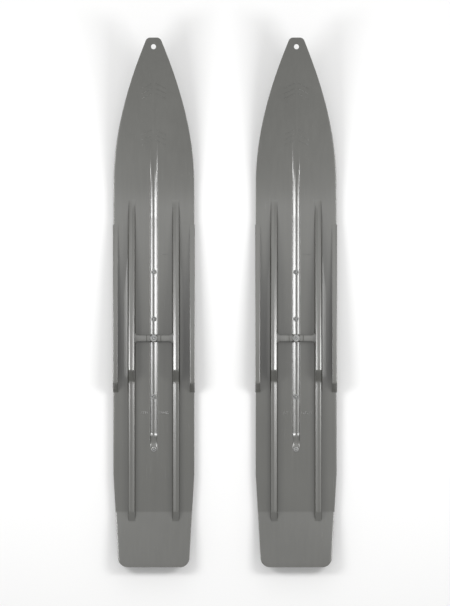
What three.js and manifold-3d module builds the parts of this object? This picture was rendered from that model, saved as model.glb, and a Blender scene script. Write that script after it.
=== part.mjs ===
// A pair of moulded plastic skis lying side by side. Each blade carries two stringers, two edge rails and a
// bolted cross brace on its deck, and a steel runner under its hollow keel.
// Millimetres. +X is to the right, +Y points to the tips, +Z is up, and the runners stand on Z = 0.

import * as THREE from "three";
import { mergeVertices } from "three/addons/utils/BufferGeometryUtils.js";
import Module from "manifold-3d";

// The blade.
const SKI_LENGTH = 1058;
const SKI_WIDTH = 162;
const SKI_SPACING = 285; // from one ski's axis to the other's
const BLADE_THICKNESS = 6;
const TIP_CURVE_LENGTH = 339; // how far from its end the tip starts to turn up
const TIP_RISE = 105;
const TIP_TAPER_LENGTH = 289; // how far from its end the tip starts to narrow
const TIP_SHOULDER_PULL = 130; // how long the outline stays straight past the shoulder
const TIP_SIDE_PULL = 35; // how long it stays straight before the tip's corner
const TIP_SIDE_ANGLE = THREE.MathUtils.degToRad(21.4);
const TIP_FLAT = 13;
const TIP_CORNER_RADIUS = 10;
const TIP_HOLE_RADIUS = 5;
const TIP_HOLE_INSET = 18;
const TAIL_TAPER_LENGTH = 186;
const TAIL_TAPER = 9.5; // what each side loses over the taper
const TAIL_CORNER_RADIUS = 19;
const TAIL_KICK_LENGTH = 111;
const TAIL_KICK_RISE = 16;

// The hollow keel, and the groove that hollows it.
const KEEL_DEPTH = 7;
const KEEL_ROOT_WIDTH = 26;
const KEEL_SOLE_WIDTH = 18;
const KEEL_RAMP = 40; // length of the keel's slope at its tail end
const GROOVE_WIDTH = 14;
const GROOVE_DEPTH = 8;
const GROOVE_FRONT_PAST_CURVE = 73; // the groove runs out this far up the tip's curve
const GROOVE_FRONT_RAMP = 88;
const GROOVE_BACK = -285;
const GROOVE_BACK_RAMP = 40;

// The stringers: wedge-shaped ribs with a low tail.
const STRINGER_OUTER_X = 50;
const STRINGER_TOP_WIDTH = 8.5;
const STRINGER_DRAFT = 3; // how far the inner flank leans from root to top
const STRINGER_FOOT = 2.6; // the small flare where a flank meets the deck
const STRINGER_HEIGHT = 42;
const STRINGER_LOW_HEIGHT = 14;
const STRINGER_FRONT_FROM_TIP = 322;
const STRINGER_PEAK = -135;
const STRINGER_STEP = 22;
const STRINGER_BACK_FROM_TAIL = 92;
const STRINGER_BACK_SLOPE = 18;

// The edge rails.
const RAIL_WIDTH = 10.5;
const RAIL_OVERHANG = 1;
const RAIL_DRAFT = 1;
const RAIL_HEIGHT = 28;
const RAIL_FRONT_FROM_TIP = 372;
const RAIL_PEAK = -161;
const RAIL_BACK_SLOPE = 18;

// How far the top edge of a stringer or a rail bows up between its ends.
const CROWN = 3;

// The cross brace.
const BRACE_Y = -70.5;
const BRACE_WIDTH = 12;
const BRACE_HEIGHT = 22;
const BRACE_FLARE = 4; // how much wider each side is at the stringer
const BRACE_FLARE_LENGTH = 8;
const PAD_LENGTH = 28;
const PAD_STEP = 1.2;
const BOSS_RADIUS = 8;
const BOSS_STEP = 1;

// The runner.
const RUNNER_WIDTH = 14;
const RUNNER_HEIGHT = 5;
const RUNNER_FRONT = 85;
const RUNNER_BACK = -318;
const RUNNER_RAMP = 14;
const RUNNER_TOE_HEIGHT = 2;
const RUNNER_CHAMFER = 1.5;

// The fastenings.
const RUNNER_SCREW_STATIONS = [62, -32, -188, -293];
const RUNNER_SCREW_RADIUS = 2.5;
const RUNNER_HEAD_RADIUS = 4.6;
const FLANGE_RADIUS = 5;
const FLANGE_HEIGHT = 1.2;
const SLEEVE_RADIUS = 3.9;
const SLEEVE_SETBACK = 0.9; // how far a sleeve stops short of the keel's sole
const SEAT_DEPTH = 0.5;
const WASHER_RADIUS = 6.5;
const WASHER_HEIGHT = 1;
const NUT_WIDTH = 8; // across its flats
const NUT_HEIGHT = 4;
const NUT_THREAD_END = 1.5; // what the screw shows above its nut
const DECK_SCREW_RADIUS = 2;
const DECK_HEAD_RADIUS = 3.6;
const DECK_SCREW_BITE = 8; // how deep a deck screw goes into a stringer or a rail
const HEAD_RIM = 0.4; // the straight rim of a countersunk head
const HEAD_RECESS = 0.3; // how far a head lies below the face it is sunk in
const STRINGER_SCREW_STATIONS = [60, -110, -330];
const RAIL_SCREW_STATIONS = [-10, -140];
const RAIL_SCREW_INSET = 5.5; // from the blade's edge

const CLEARANCE = 0.3; // between pieces that touch
const CURVE_STEPS = 10;
const ROUND_STEPS = 12;
const WELD = 1e-4;
const CUT = 60; // longer than any thickness that a cutter goes through

// Places that follow from the sizes, in one ski's own frame.
const tipY = SKI_LENGTH / 2;
const tailY = -SKI_LENGTH / 2;
const halfWidth = SKI_WIDTH / 2;
const curveY = tipY - TIP_CURVE_LENGTH;
const creaseY = tailY + TAIL_KICK_LENGTH;
const tipFacet = TIP_CURVE_LENGTH / CURVE_STEPS;
const tipRadius = (TIP_CURVE_LENGTH ** 2 + TIP_RISE ** 2) / (2 * TIP_RISE);
const soleZ = RUNNER_HEIGHT + CLEARANCE;
const baseZ = soleZ + KEEL_DEPTH;
const deckZ = baseZ + BLADE_THICKNESS;
const grooveZ = deckZ - GROOVE_DEPTH;
const grooveFrontY = curveY + GROOVE_FRONT_PAST_CURVE;
const stringerFrontY = tipY - STRINGER_FRONT_FROM_TIP;
const stringerBackY = tailY + STRINGER_BACK_FROM_TAIL;
const railFrontY = tipY - RAIL_FRONT_FROM_TIP;
const stringerTopX = STRINGER_OUTER_X - STRINGER_TOP_WIDTH;
const stringerRootX = stringerTopX - STRINGER_DRAFT;
const stringerScrewX = (STRINGER_OUTER_X + stringerRootX) / 2;
const railScrewX = halfWidth - RAIL_SCREW_INSET;
const bossTopZ = deckZ + BRACE_HEIGHT + PAD_STEP + BOSS_STEP;

const plastic = { color: 0x75756f, roughness: 0.38, metalness: 0 };
const bareSteel = { color: 0x9a9b9c, roughness: 0.32, metalness: 1 };
const zincedSteel = { color: 0xb4b5b2, roughness: 0.4, metalness: 1 };

const wasm = await Module();
wasm.setup();

/** Turns a closed geometry into a solid that can be joined and cut. */
function solid(geometry) {
  const bare = geometry.clone();
  bare.deleteAttribute("normal");
  bare.deleteAttribute("uv");
  const welded = mergeVertices(bare, WELD);
  const index = welded.index.array;
  const corners = [];
  for (let i = 0; i < index.length; i += 3) {
    const [a, b, c] = [index[i], index[i + 1], index[i + 2]];
    if (a !== b && b !== c && c !== a) corners.push(a, b, c);
  }
  return new wasm.Manifold(new wasm.Mesh({
    numProp: 3,
    vertProperties: new Float32Array(welded.attributes.position.array),
    triVerts: new Uint32Array(corners),
  }));
}

/** Turns a solid back into a geometry. */
function geometryOf(body) {
  const mesh = body.getMesh();
  const geometry = new THREE.BufferGeometry();
  geometry.setAttribute("position", new THREE.BufferAttribute(mesh.vertProperties, 3));
  geometry.setIndex(new THREE.BufferAttribute(mesh.triVerts, 1));
  geometry.computeVertexNormals();
  return geometry;
}

/** An outline from a list of [x, y] corners. */
function outlineOf(corners) {
  return new THREE.Shape(corners.map(([x, y]) => new THREE.Vector2(x, y)));
}

/** A side view, drawn as (y, z), carried across the ski from x0 to x1. */
function acrossSki(sideView, x0, x1) {
  const geometry = new THREE.ExtrudeGeometry(sideView, {
    depth: x1 - x0,
    bevelEnabled: false,
    curveSegments: CURVE_STEPS,
  });
  const turn = new THREE.Matrix4().makeBasis(
    new THREE.Vector3(0, 1, 0),
    new THREE.Vector3(0, 0, 1),
    new THREE.Vector3(1, 0, 0),
  );
  geometry.translate(0, 0, x0);
  geometry.applyMatrix4(turn);
  return solid(geometry);
}

/** An end view, drawn as (x, z), carried along the ski from y0 to y1. */
function alongSki(endView, y0, y1) {
  const geometry = new THREE.ExtrudeGeometry(endView, {
    depth: y1 - y0,
    bevelEnabled: false,
    curveSegments: CURVE_STEPS,
  });
  geometry.rotateX(Math.PI / 2);
  geometry.translate(0, y1, 0);
  return solid(geometry);
}

/** A plan view, drawn as (x, y), carried up from z0 to z1. */
function upward(planView, z0, z1) {
  const geometry = new THREE.ExtrudeGeometry(planView, {
    depth: z1 - z0,
    bevelEnabled: false,
    curveSegments: CURVE_STEPS,
  });
  geometry.translate(0, 0, z0);
  return solid(geometry);
}

/** A solid of revolution about an upright axis through (x, y), from its [radius, z] profile. */
function turned(profile, x, y) {
  const points = profile.map(([radius, z]) => new THREE.Vector2(radius, z));
  const geometry = new THREE.LatheGeometry(points, ROUND_STEPS);
  geometry.rotateX(Math.PI / 2);
  geometry.translate(x, y, 0);
  return solid(geometry);
}

/** An upright round bar. */
function roundBar(x, y, radius, z0, z1) {
  return turned([[0, z0], [radius, z0], [radius, z1], [0, z1]], x, y);
}

/** Height of the tip's arc at station y, `up` above the blade's underside. */
function arcZ(y, up) {
  const radius = tipRadius - up;
  return baseZ + tipRadius - Math.sqrt(radius ** 2 - (y - curveY) ** 2);
}

/** Height of the surface that lies `up` above the blade's underside, whose curve is made of flat facets. */
function surfaceZ(y, up) {
  if (y > curveY) {
    const edge = curveY + tipFacet * Math.floor((y - curveY) / tipFacet);
    const share = (y - edge) / tipFacet;
    return (1 - share) * arcZ(edge, up) + share * arcZ(edge + tipFacet, up);
  }
  const kick = Math.max(0, creaseY - y) * (TAIL_KICK_RISE / TAIL_KICK_LENGTH);
  return baseZ + up + kick;
}

/** Points of that surface from y0 to y1, at its ends and wherever it bends. */
function surfaceLine(y0, y1, up) {
  const low = Math.min(y0, y1);
  const high = Math.max(y0, y1);
  const bends = [creaseY];
  for (let i = 0; i <= CURVE_STEPS; i += 1) bends.push(curveY + i * tipFacet);
  const stations = [low, ...bends.filter((y) => y > low + WELD && y < high - WELD), high];
  if (y0 > y1) stations.reverse();
  return stations.map((y) => [y, surfaceZ(y, up)]);
}

/** The blade seen from above. */
function bladePlan() {
  const cornerX = TIP_FLAT / 2;
  const cornerY = tipY - TIP_CORNER_RADIUS;
  const sideX = cornerX + TIP_CORNER_RADIUS * Math.cos(TIP_SIDE_ANGLE);
  const sideY = cornerY + TIP_CORNER_RADIUS * Math.sin(TIP_SIDE_ANGLE);
  const pullX = sideX + TIP_SIDE_PULL * Math.sin(TIP_SIDE_ANGLE);
  const pullY = sideY - TIP_SIDE_PULL * Math.cos(TIP_SIDE_ANGLE);
  const shoulderY = tipY - TIP_TAPER_LENGTH;
  const tailHalf = halfWidth - TAIL_TAPER;
  const tailX = tailHalf - TAIL_CORNER_RADIUS;
  const plan = new THREE.Shape();
  plan.moveTo(halfWidth, tailY + TAIL_TAPER_LENGTH);
  plan.lineTo(halfWidth, shoulderY);
  plan.bezierCurveTo(halfWidth, shoulderY + TIP_SHOULDER_PULL, pullX, pullY, sideX, sideY);
  plan.absarc(cornerX, cornerY, TIP_CORNER_RADIUS, TIP_SIDE_ANGLE, Math.PI / 2, false);
  plan.absarc(-cornerX, cornerY, TIP_CORNER_RADIUS, Math.PI / 2, Math.PI - TIP_SIDE_ANGLE, false);
  plan.bezierCurveTo(-pullX, pullY, -halfWidth, shoulderY + TIP_SHOULDER_PULL, -halfWidth, shoulderY);
  plan.lineTo(-halfWidth, tailY + TAIL_TAPER_LENGTH);
  plan.absarc(-tailX, tailY + TAIL_CORNER_RADIUS, TAIL_CORNER_RADIUS, Math.PI, 1.5 * Math.PI, false);
  plan.absarc(tailX, tailY + TAIL_CORNER_RADIUS, TAIL_CORNER_RADIUS, 1.5 * Math.PI, 2 * Math.PI, false);
  plan.closePath();
  return plan;
}

/** The curved plate, before its keel and groove. */
function bladePlate() {
  const sideView = outlineOf([
    ...surfaceLine(tailY, tipY, 0),
    ...surfaceLine(tipY, tailY, BLADE_THICKNESS),
  ]);
  return acrossSki(sideView, -halfWidth, halfWidth).intersect(upward(bladePlan(), 0, baseZ + 2 * TIP_RISE));
}

/** The keel under the plate, deepest where the runner seats and faired into the plate at both ends. */
function keel() {
  const keelBackY = RUNNER_BACK - CLEARANCE;
  const frontY = grooveFrontY + GROOVE_WIDTH;
  const sideView = outlineOf([
    [keelBackY - KEEL_RAMP, surfaceZ(keelBackY - KEEL_RAMP, BLADE_THICKNESS / 2)],
    [keelBackY, soleZ],
    [curveY, soleZ],
    ...surfaceLine(frontY, keelBackY, BLADE_THICKNESS / 2),
  ]);
  const endView = outlineOf([
    [-KEEL_SOLE_WIDTH / 2, soleZ],
    [KEEL_SOLE_WIDTH / 2, soleZ],
    [KEEL_ROOT_WIDTH / 2, baseZ],
    [KEEL_ROOT_WIDTH / 2, CUT],
    [-KEEL_ROOT_WIDTH / 2, CUT],
    [-KEEL_ROOT_WIDTH / 2, baseZ],
  ]);
  return acrossSki(sideView, -halfWidth, halfWidth)
    .intersect(alongSki(endView, keelBackY - KEEL_RAMP, frontY));
}

/** What a round-nosed cutter takes out of the deck along the groove. */
function grooveCutter() {
  const nose = GROOVE_WIDTH / 2;
  const slot = new THREE.Shape();
  slot.moveTo(nose, CUT);
  slot.lineTo(-nose, CUT);
  slot.lineTo(-nose, 0);
  slot.absarc(0, 0, nose, Math.PI, 2 * Math.PI, false);
  slot.closePath();
  const frontZ = surfaceZ(grooveFrontY, BLADE_THICKNESS);
  const rise = (frontZ - grooveZ) / GROOVE_FRONT_RAMP;
  const route = [
    [GROOVE_BACK - GROOVE_WIDTH, deckZ + (GROOVE_DEPTH * GROOVE_WIDTH) / GROOVE_BACK_RAMP],
    [GROOVE_BACK + GROOVE_BACK_RAMP, grooveZ],
    [grooveFrontY - GROOVE_FRONT_RAMP, grooveZ],
    [grooveFrontY + GROOVE_WIDTH, frontZ + rise * GROOVE_WIDTH],
  ].map(([y, z]) => new THREE.Vector3(0, y, z + nose));
  const path = new THREE.CurvePath();
  for (let i = 1; i < route.length; i += 1) path.add(new THREE.LineCurve3(route[i - 1], route[i]));
  const geometry = new THREE.ExtrudeGeometry(slot, {
    steps: 2 * CURVE_STEPS,
    extrudePath: path,
    bevelEnabled: false,
    curveSegments: CURVE_STEPS / 2,
  });
  return solid(geometry);
}

/** The seat of a countersunk head in a face that looks down at height z, with its hole up to topZ. */
function countersink(x, y, z, headRadius, shankRadius, topZ) {
  const head = headRadius + CLEARANCE;
  const shank = shankRadius + CLEARANCE;
  const rimZ = z + HEAD_RECESS + HEAD_RIM;
  return turned([
    [0, z - CUT],
    [head, z - CUT],
    [head, rimZ],
    [shank, rimZ + head - shank],
    [shank, topZ],
    [0, topZ],
  ], x, y);
}

/** A countersunk screw whose head lies just inside a face that looks down at height z. */
function countersunkScrew(x, y, z, headRadius, shankRadius, topZ) {
  const rimZ = z + HEAD_RECESS;
  return turned([
    [0, rimZ],
    [headRadius, rimZ],
    [headRadius, rimZ + HEAD_RIM],
    [shankRadius, rimZ + HEAD_RIM + headRadius - shankRadius],
    [shankRadius, topZ],
    [0, topZ],
  ], x, y);
}

/** The deck level at a runner fastening: the groove's floor, or the deck where the groove has ended. */
function fasteningZ(y) {
  return y > GROOVE_BACK + GROOVE_BACK_RAMP ? grooveZ - SEAT_DEPTH : deckZ - SEAT_DEPTH;
}

/** Everything that the blade loses to the groove, the tip hole and the fastenings. */
function blade() {
  let body = bladePlate().add(keel()).subtract(grooveCutter());
  const holeY = tipY - TIP_HOLE_INSET;
  body = body.subtract(roundBar(0, holeY, TIP_HOLE_RADIUS, baseZ, baseZ + 2 * TIP_RISE));
  for (const y of RUNNER_SCREW_STATIONS) {
    const seatZ = fasteningZ(y);
    body = body.subtract(roundBar(0, y, FLANGE_RADIUS + CLEARANCE, seatZ, CUT));
    body = body.subtract(roundBar(0, y, SLEEVE_RADIUS + CLEARANCE, 0, CUT));
  }
  body = body.subtract(roundBar(0, BRACE_Y, RUNNER_SCREW_RADIUS + CLEARANCE, 0, CUT));
  for (const [x, y] of deckScrewPlaces()) {
    body = body.subtract(countersink(x, y, baseZ, DECK_HEAD_RADIUS, DECK_SCREW_RADIUS, CUT));
  }
  return body;
}

/** Where the screws come up through the blade into the stringers and the rails. */
function deckScrewPlaces() {
  const places = [];
  for (const side of [-1, 1]) {
    for (const y of STRINGER_SCREW_STATIONS) places.push([side * stringerScrewX, y]);
    for (const y of RAIL_SCREW_STATIONS) places.push([side * railScrewX, y]);
  }
  return places;
}

/** Takes the blind holes for its deck screws out of a stringer or a rail. */
function drilled(body, x, stations) {
  const topZ = deckZ + DECK_SCREW_BITE + CLEARANCE;
  const radius = DECK_SCREW_RADIUS + CLEARANCE;
  return stations.reduce((left, y) => left.subtract(roundBar(x, y, radius, 0, topZ)), body);
}

/** A stringer: a wedge that rises to its peak, steps down and runs on low to the tail. */
function stringer(side) {
  const top = deckZ + STRINGER_HEIGHT;
  const low = deckZ + STRINGER_LOW_HEIGHT;
  const footZ = deckZ + CLEARANCE;
  const endView = outlineOf([
    [side * (stringerRootX - STRINGER_FOOT), deckZ],
    [side * stringerRootX, deckZ + STRINGER_FOOT],
    [side * stringerTopX, top],
    [side * STRINGER_OUTER_X, top],
    [side * STRINGER_OUTER_X, deckZ + STRINGER_FOOT],
    [side * (STRINGER_OUTER_X + STRINGER_FOOT), deckZ],
  ]);
  const sideView = outlineOf(surfaceLine(stringerBackY, stringerFrontY, BLADE_THICKNESS + CLEARANCE));
  const middleY = (stringerFrontY + STRINGER_PEAK) / 2;
  sideView.quadraticCurveTo(middleY, (footZ + top) / 2 + 2 * CROWN, STRINGER_PEAK, top);
  sideView.lineTo(STRINGER_PEAK - STRINGER_STEP, low);
  sideView.lineTo(stringerBackY + STRINGER_BACK_SLOPE, low);
  sideView.closePath();
  const body = alongSki(endView, stringerBackY, stringerFrontY)
    .intersect(acrossSki(sideView, -halfWidth, halfWidth));
  return drilled(body, side * stringerScrewX, STRINGER_SCREW_STATIONS);
}

/** A rail: a wedge along the blade's straight edge. */
function rail(side) {
  const top = deckZ + RAIL_HEIGHT;
  const outerX = halfWidth + RAIL_OVERHANG;
  const backY = RAIL_PEAK - RAIL_BACK_SLOPE;
  const footZ = deckZ + CLEARANCE;
  const endView = outlineOf([
    [side * (outerX - RAIL_WIDTH), deckZ],
    [side * (outerX - RAIL_WIDTH + RAIL_DRAFT), top],
    [side * outerX, top],
    [side * outerX, deckZ],
  ]);
  const sideView = outlineOf([[backY, footZ], [railFrontY, footZ]]);
  sideView.quadraticCurveTo((railFrontY + RAIL_PEAK) / 2, (footZ + top) / 2 + 2 * CROWN, RAIL_PEAK, top);
  sideView.closePath();
  const body = alongSki(endView, backY, railFrontY).intersect(acrossSki(sideView, -outerX, outerX));
  return drilled(body, side * railScrewX, RAIL_SCREW_STATIONS);
}

/** How far from the axis the stringers' inner flanks are, at a height above the deck. */
function flankX(height) {
  if (height < STRINGER_FOOT) return stringerRootX - STRINGER_FOOT + height;
  return stringerRootX + (STRINGER_DRAFT * (height - STRINGER_FOOT)) / (STRINGER_HEIGHT - STRINGER_FOOT);
}

/** The brace across the deck, with a raised pad, a round boss and a flare at each stringer. */
function brace() {
  const floor = CLEARANCE;
  const padHeight = BRACE_HEIGHT + PAD_STEP;
  const rightSide = [
    [flankX(floor) - CLEARANCE, floor],
    [flankX(STRINGER_FOOT) - CLEARANCE, STRINGER_FOOT],
    [flankX(BRACE_HEIGHT) - CLEARANCE, BRACE_HEIGHT],
    [PAD_LENGTH / 2, BRACE_HEIGHT],
    [PAD_LENGTH / 2, padHeight],
  ];
  const leftSide = rightSide.map(([x, z]) => [-x, z]).reverse();
  const endView = outlineOf([...rightSide, ...leftSide].map(([x, z]) => [x, z + deckZ]));
  const half = BRACE_WIDTH / 2;
  const wide = half + BRACE_FLARE;
  const flareX = flankX(BRACE_HEIGHT) - BRACE_FLARE_LENGTH;
  const planView = outlineOf([
    [-halfWidth, -wide],
    [-flareX - BRACE_FLARE_LENGTH, -wide],
    [-flareX, -half],
    [flareX, -half],
    [flareX + BRACE_FLARE_LENGTH, -wide],
    [halfWidth, -wide],
    [halfWidth, wide],
    [flareX + BRACE_FLARE_LENGTH, wide],
    [flareX, half],
    [-flareX, half],
    [-flareX - BRACE_FLARE_LENGTH, wide],
    [-halfWidth, wide],
  ].map(([x, y]) => [x, y + BRACE_Y]));
  return alongSki(endView, BRACE_Y - BRACE_WIDTH, BRACE_Y + BRACE_WIDTH)
    .intersect(upward(planView, 0, bossTopZ + CUT))
    .add(roundBar(0, BRACE_Y, BOSS_RADIUS, deckZ + floor, bossTopZ))
    .subtract(roundBar(0, BRACE_Y, RUNNER_SCREW_RADIUS + CLEARANCE, 0, bossTopZ + CUT));
}

/** The steel runner, with a toe at each end and a countersunk hole for each screw. */
function runner() {
  const sideView = outlineOf([
    [RUNNER_BACK, RUNNER_HEIGHT],
    [RUNNER_BACK, RUNNER_HEIGHT - RUNNER_TOE_HEIGHT],
    [RUNNER_BACK + RUNNER_RAMP, 0],
    [RUNNER_FRONT - RUNNER_RAMP, 0],
    [RUNNER_FRONT, RUNNER_HEIGHT - RUNNER_TOE_HEIGHT],
    [RUNNER_FRONT, RUNNER_HEIGHT],
  ]);
  const half = RUNNER_WIDTH / 2;
  const endView = outlineOf([
    [-half + RUNNER_CHAMFER, 0],
    [half - RUNNER_CHAMFER, 0],
    [half, RUNNER_CHAMFER],
    [half, RUNNER_HEIGHT],
    [-half, RUNNER_HEIGHT],
    [-half, RUNNER_CHAMFER],
  ]);
  let body = acrossSki(sideView, -half, half).intersect(alongSki(endView, RUNNER_BACK, RUNNER_FRONT));
  for (const y of [...RUNNER_SCREW_STATIONS, BRACE_Y]) {
    body = body.subtract(countersink(0, y, 0, RUNNER_HEAD_RADIUS, RUNNER_SCREW_RADIUS, CUT));
  }
  return body;
}

/** A tee nut: a round flange on the deck side with a threaded sleeve down into the keel. */
function teeNut(y) {
  const seatZ = fasteningZ(y) + CLEARANCE;
  const bore = RUNNER_SCREW_RADIUS + CLEARANCE;
  const sleeveZ = soleZ + SLEEVE_SETBACK;
  return turned([
    [bore, sleeveZ],
    [SLEEVE_RADIUS, sleeveZ],
    [SLEEVE_RADIUS, seatZ],
    [FLANGE_RADIUS, seatZ],
    [FLANGE_RADIUS, seatZ + FLANGE_HEIGHT],
    [bore, seatZ + FLANGE_HEIGHT],
    [bore, sleeveZ],
  ], 0, y);
}

function washer() {
  const bore = RUNNER_SCREW_RADIUS + CLEARANCE;
  const z = bossTopZ + CLEARANCE;
  return turned([
    [bore, z],
    [WASHER_RADIUS, z],
    [WASHER_RADIUS, z + WASHER_HEIGHT],
    [bore, z + WASHER_HEIGHT],
    [bore, z],
  ], 0, BRACE_Y);
}

function hexNut() {
  const corner = NUT_WIDTH / Math.sqrt(3);
  const corners = Array.from({ length: 6 }, (_, i) => {
    const angle = (i * Math.PI) / 3;
    return [corner * Math.cos(angle), BRACE_Y + corner * Math.sin(angle)];
  });
  const z = bossTopZ + WASHER_HEIGHT + 2 * CLEARANCE;
  return upward(outlineOf(corners), z, z + NUT_HEIGHT)
    .subtract(roundBar(0, BRACE_Y, RUNNER_SCREW_RADIUS + CLEARANCE, z - CUT, z + CUT));
}

const pair = new THREE.Group();

/** Adds one piece of a ski to the ski's group. */
function addPiece(group, name, body, finish) {
  const mesh = new THREE.Mesh(geometryOf(body), new THREE.MeshStandardMaterial(finish));
  mesh.name = name;
  group.add(mesh);
}

/** Builds one whole ski with its axis at x. */
function addSki(name, x) {
  const ski = new THREE.Group();
  ski.position.x = x;
  addPiece(ski, `${name}_blade`, blade(), plastic);
  for (const [hand, side] of [["left", -1], ["right", 1]]) {
    addPiece(ski, `${name}_${hand}_stringer`, stringer(side), plastic);
    addPiece(ski, `${name}_${hand}_rail`, rail(side), plastic);
    const topZ = deckZ + DECK_SCREW_BITE;
    const rows = [
      ["stringer", stringerScrewX, STRINGER_SCREW_STATIONS],
      ["rail", railScrewX, RAIL_SCREW_STATIONS],
    ];
    for (const [host, screwX, stations] of rows) {
      stations.forEach((y, i) => {
        const screw = countersunkScrew(side * screwX, y, baseZ, DECK_HEAD_RADIUS, DECK_SCREW_RADIUS, topZ);
        addPiece(ski, `${name}_${hand}_${host}_screw_${i + 1}`, screw, zincedSteel);
      });
    }
  }
  addPiece(ski, `${name}_runner`, runner(), bareSteel);
  RUNNER_SCREW_STATIONS.forEach((y, i) => {
    const topZ = fasteningZ(y) + FLANGE_HEIGHT;
    const screw = countersunkScrew(0, y, 0, RUNNER_HEAD_RADIUS, RUNNER_SCREW_RADIUS, topZ);
    addPiece(ski, `${name}_runner_screw_${i + 1}`, screw, zincedSteel);
    addPiece(ski, `${name}_tee_nut_${i + 1}`, teeNut(y), zincedSteel);
  });
  const nutTopZ = bossTopZ + WASHER_HEIGHT + NUT_HEIGHT + 2 * CLEARANCE;
  const braceScrew = countersunkScrew(
    0,
    BRACE_Y,
    0,
    RUNNER_HEAD_RADIUS,
    RUNNER_SCREW_RADIUS,
    nutTopZ + NUT_THREAD_END,
  );
  addPiece(ski, `${name}_brace`, brace(), plastic);
  addPiece(ski, `${name}_brace_screw`, braceScrew, zincedSteel);
  addPiece(ski, `${name}_brace_washer`, washer(), zincedSteel);
  addPiece(ski, `${name}_brace_nut`, hexNut(), zincedSteel);
  pair.add(ski);
}

addSki("left_ski", -SKI_SPACING / 2);
addSki("right_ski", SKI_SPACING / 2);

export default pair;
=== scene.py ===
# %% [markdown]
# # A pair of moulded plastic skis
#
# The real skis are long grey blades of moulded plastic. Each one has two tall wedge-shaped
# stringers, a rail along each straight edge, a bolted brace between the stringers and a steel
# runner under a hollow keel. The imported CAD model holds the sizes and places. This lesson models
# the finished surface of every piece around it.

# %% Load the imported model
import math

import bmesh
import bpy
from mathutils import Matrix, Vector


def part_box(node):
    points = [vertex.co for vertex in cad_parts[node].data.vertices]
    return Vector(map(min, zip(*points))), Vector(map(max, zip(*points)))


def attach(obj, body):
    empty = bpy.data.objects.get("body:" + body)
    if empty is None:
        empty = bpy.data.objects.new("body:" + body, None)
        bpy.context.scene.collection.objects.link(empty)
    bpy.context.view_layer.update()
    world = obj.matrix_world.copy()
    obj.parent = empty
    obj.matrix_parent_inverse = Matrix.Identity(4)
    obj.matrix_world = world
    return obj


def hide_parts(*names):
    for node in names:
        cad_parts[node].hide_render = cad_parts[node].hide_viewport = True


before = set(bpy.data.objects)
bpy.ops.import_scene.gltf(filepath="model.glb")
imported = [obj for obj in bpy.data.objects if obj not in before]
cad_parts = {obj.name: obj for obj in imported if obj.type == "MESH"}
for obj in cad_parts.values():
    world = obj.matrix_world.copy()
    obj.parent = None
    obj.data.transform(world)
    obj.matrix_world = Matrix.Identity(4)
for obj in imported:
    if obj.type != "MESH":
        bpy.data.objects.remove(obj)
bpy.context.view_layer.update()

# %% [markdown]
# The two skis are the same, so every piece is modelled once in the frame of one ski: millimetres,
# with the ski's axis at X = 0. Only the last step turns millimetres into metres and moves the piece
# to its own ski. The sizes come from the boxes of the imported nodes, so a ski that is packed longer
# or wider also looks longer or wider.

# %% Measure one ski
MM = 0.001
SKIS = ("left_ski", "right_ski")
HANDS = (("left", -1), ("right", 1))


def axis_of(ski):
    """Where a ski's own axis lies, in millimetres."""
    low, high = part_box(f"{ski}_blade")
    return (low.x + high.x) / 2 / MM


def box_of(part):
    """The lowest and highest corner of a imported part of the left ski, in that ski's own frame."""
    low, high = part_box(f"left_ski_{part}")
    shift = Vector((axis_of("left_ski"), 0, 0))
    return low / MM - shift, high / MM - shift


CLEARANCE = 0.3
blade_low, blade_high = box_of("blade")
tip_y, tail_y, half_width, sole_z = blade_high.y, blade_low.y, blade_high.x, blade_low.z
print(f"blade {tip_y - tail_y:.0f} x {2 * half_width:.0f} mm, keel sole at {sole_z:.1f} mm")

# %% [markdown]
# Moulded parts have no knife edges. A height that is the greater of two slopes is therefore rounded
# where they meet: `soft_max` follows the larger value and turns smoothly from one to the other over
# a small radius.

# %% Heights of the blade
PLATE = 6.0
KEEL_DEPTH = 7.0
TIP_CURVE_LENGTH = 339.0
TIP_RISE = 105.0
KICK_LENGTH = 111.0
KICK_RISE = 16.0
CREASE_SOFTNESS = 0.6

base_z = sole_z + KEEL_DEPTH
deck_z = base_z + PLATE
curve_y = tip_y - TIP_CURVE_LENGTH
crease_y = tail_y + KICK_LENGTH
tip_radius = (TIP_CURVE_LENGTH**2 + TIP_RISE**2) / (2 * TIP_RISE)


def soft_max(a, b, softness):
    """The greater of two numbers, rounded where they are nearly equal."""
    return (a + b + math.sqrt((a - b) ** 2 + softness**2)) / 2


def soft_min(a, b, softness):
    return -soft_max(-a, -b, softness)


def surface_z(y, up):
    """Height of the surface that lies `up` above the blade's running face."""
    if y > curve_y:
        return base_z + tip_radius - math.sqrt((tip_radius - up) ** 2 - (y - curve_y) ** 2)
    kick = soft_max(0, crease_y - y, CREASE_SOFTNESS) - soft_max(0, crease_y - curve_y, CREASE_SOFTNESS)
    return base_z + up + kick * KICK_RISE / KICK_LENGTH


print(f"the tip stands {surface_z(tip_y, PLATE):.0f} mm high")

# %% [markdown]
# Seen from above, the blade has straight sides, a long pointed tip with a small flat nose and a
# slightly narrower tail with round corners. The side of the tip is one Bezier curve, so its half
# width at a station comes from halving the curve's parameter until it meets that station.

# %% Outline of the blade
SHOULDER_Y = tip_y - 289.0
SHOULDER_PULL = 130.0
SIDE_PULL = 35.0
SIDE_ANGLE = math.radians(21.4)
TIP_FLAT = 13.0
TIP_CORNER = 10.0
TAPER_Y = tail_y + 186.0
TAIL_TAPER = 9.5
TAIL_CORNER = 19.0

corner_y = tip_y - TIP_CORNER
side_x = TIP_FLAT / 2 + TIP_CORNER * math.cos(SIDE_ANGLE)
side_y = corner_y + TIP_CORNER * math.sin(SIDE_ANGLE)
tail_half = half_width - TAIL_TAPER


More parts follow.
